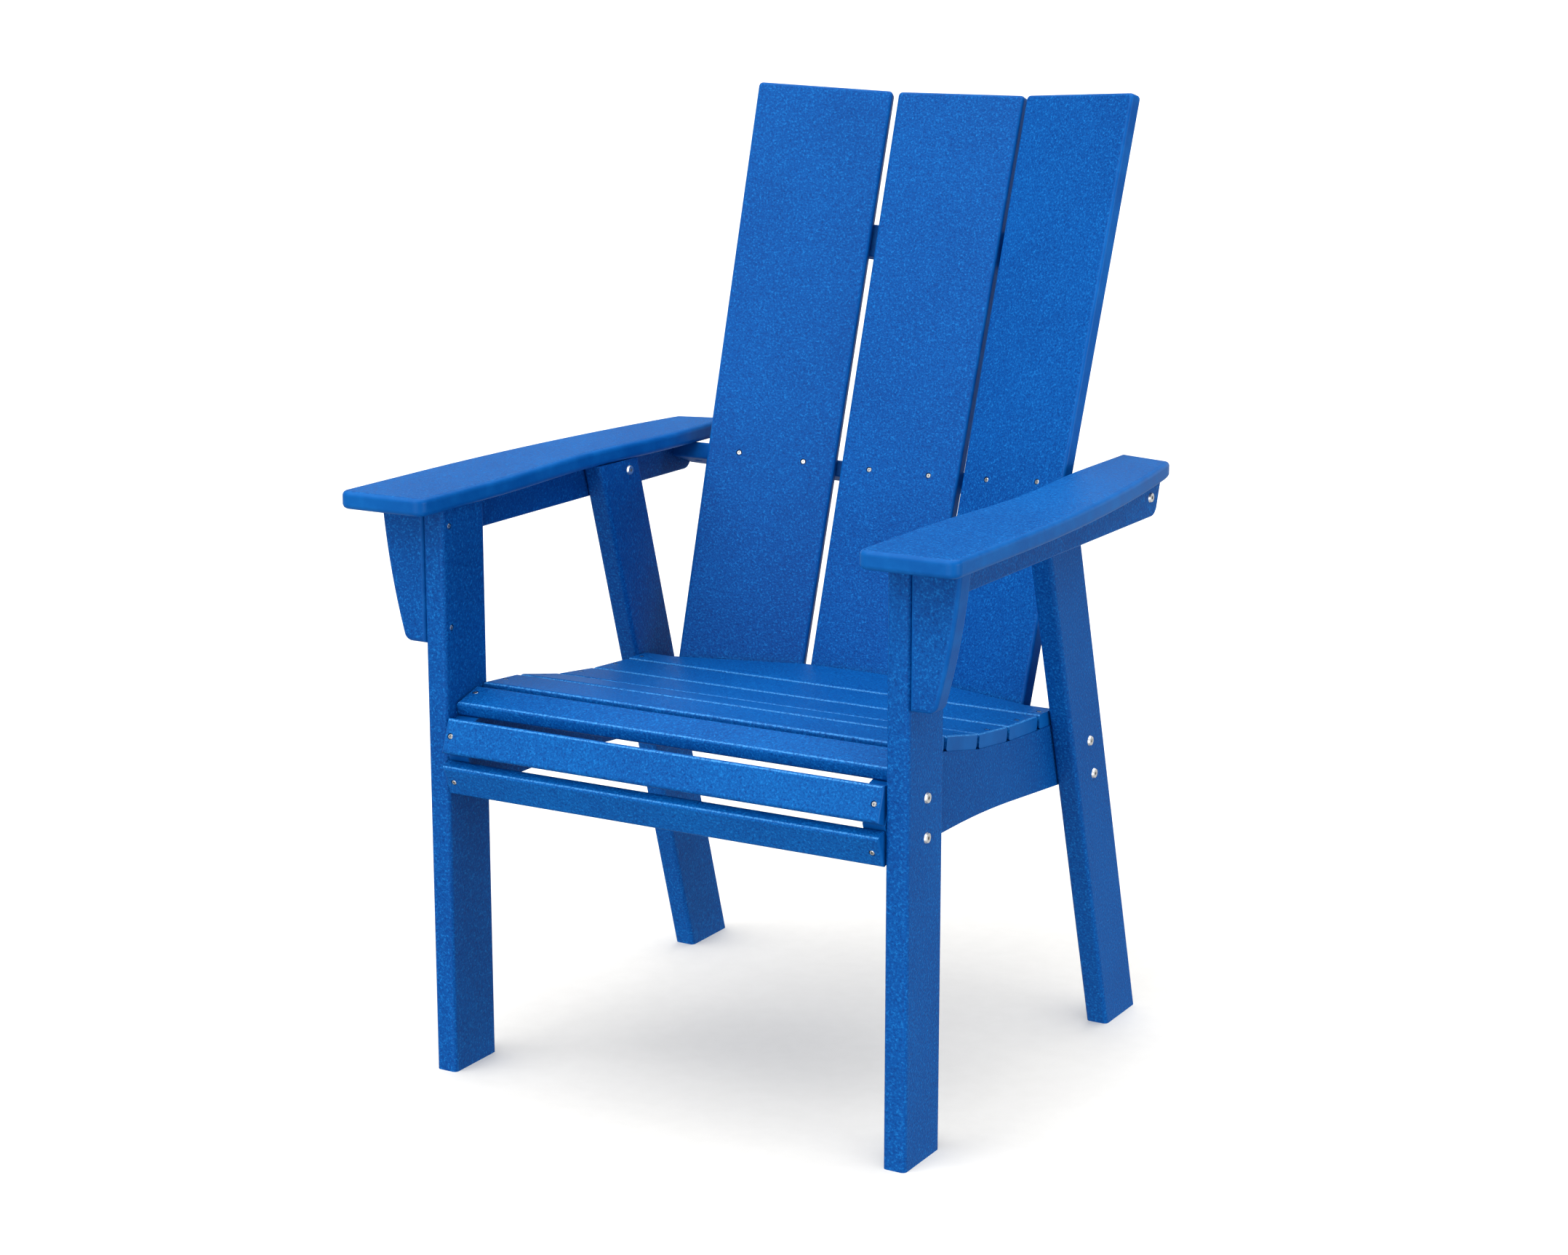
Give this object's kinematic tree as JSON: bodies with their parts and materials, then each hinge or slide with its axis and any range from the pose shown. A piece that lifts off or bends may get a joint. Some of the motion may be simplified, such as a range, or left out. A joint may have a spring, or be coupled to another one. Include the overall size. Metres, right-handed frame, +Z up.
{
  "type": "adirondack chair",
  "caption": "Upright adirondack garden chair of plastic lumber with a fanned board back, contoured slat seat, wide flat arms on straight legs and visible bolts.",
  "frame": {"origin": "middle of the bounding box, on the floor under the seat", "axes": "+Z up, -Y is the way the sitter faces, X across the chair, which is symmetric about X = 0"},
  "size_m": [0.7178, 0.7214, 1.0278],
  "materials": {
    "legs": "pebbled poly lumber board",
    "rails": "pebbled poly lumber board",
    "arms": "pebbled top, smooth routed edges",
    "seat_slats": "pebbled poly lumber slat",
    "back_slats": "pebbled poly lumber slat",
    "braces": "pebbled poly lumber board",
    "screws": "satin stainless steel",
    "bolts": "satin stainless steel"
  },
  "bodies": {
    "root": {"right_front_leg": "legs", "left_front_leg": "legs", "right_rear_leg": "legs", "left_rear_leg": "legs", "right_seat_rail": "rails", "left_seat_rail": "rails", "right_arm_rail": "rails", "left_arm_rail": "rails", "right_arm_bracket": "rails", "left_arm_bracket": "rails", "right_arm": "arms", "left_arm": "arms", "nose_slat": "seat_slats", "seat_slat_1": "seat_slats", "seat_slat_2": "seat_slats", "seat_slat_3": "seat_slats", "seat_slat_4": "seat_slats", "rear_seat_slat": "seat_slats", "upper_apron_slat": "seat_slats", "lower_apron_slat": "seat_slats", "left_back_slat": "back_slats", "centre_back_slat": "back_slats", "right_back_slat": "back_slats", "arm_back_brace": "braces", "upper_back_brace": "braces", "lower_back_brace": "braces", "seat_slat_screws": "screws", "apron_screws": "screws", "arm_brace_screws": "screws", "lower_brace_screws": "screws", "upper_brace_screws": "screws", "brace_end_screws": "screws", "bracket_screws": "screws", "arm_screws": "screws", "leg_bolts": "bolts", "arm_rail_bolts": "bolts", "brace_bolts": "bolts", "bolt_inserts": "bolts", "barrel_nuts": "bolts"}
  },
  "joints": []
}
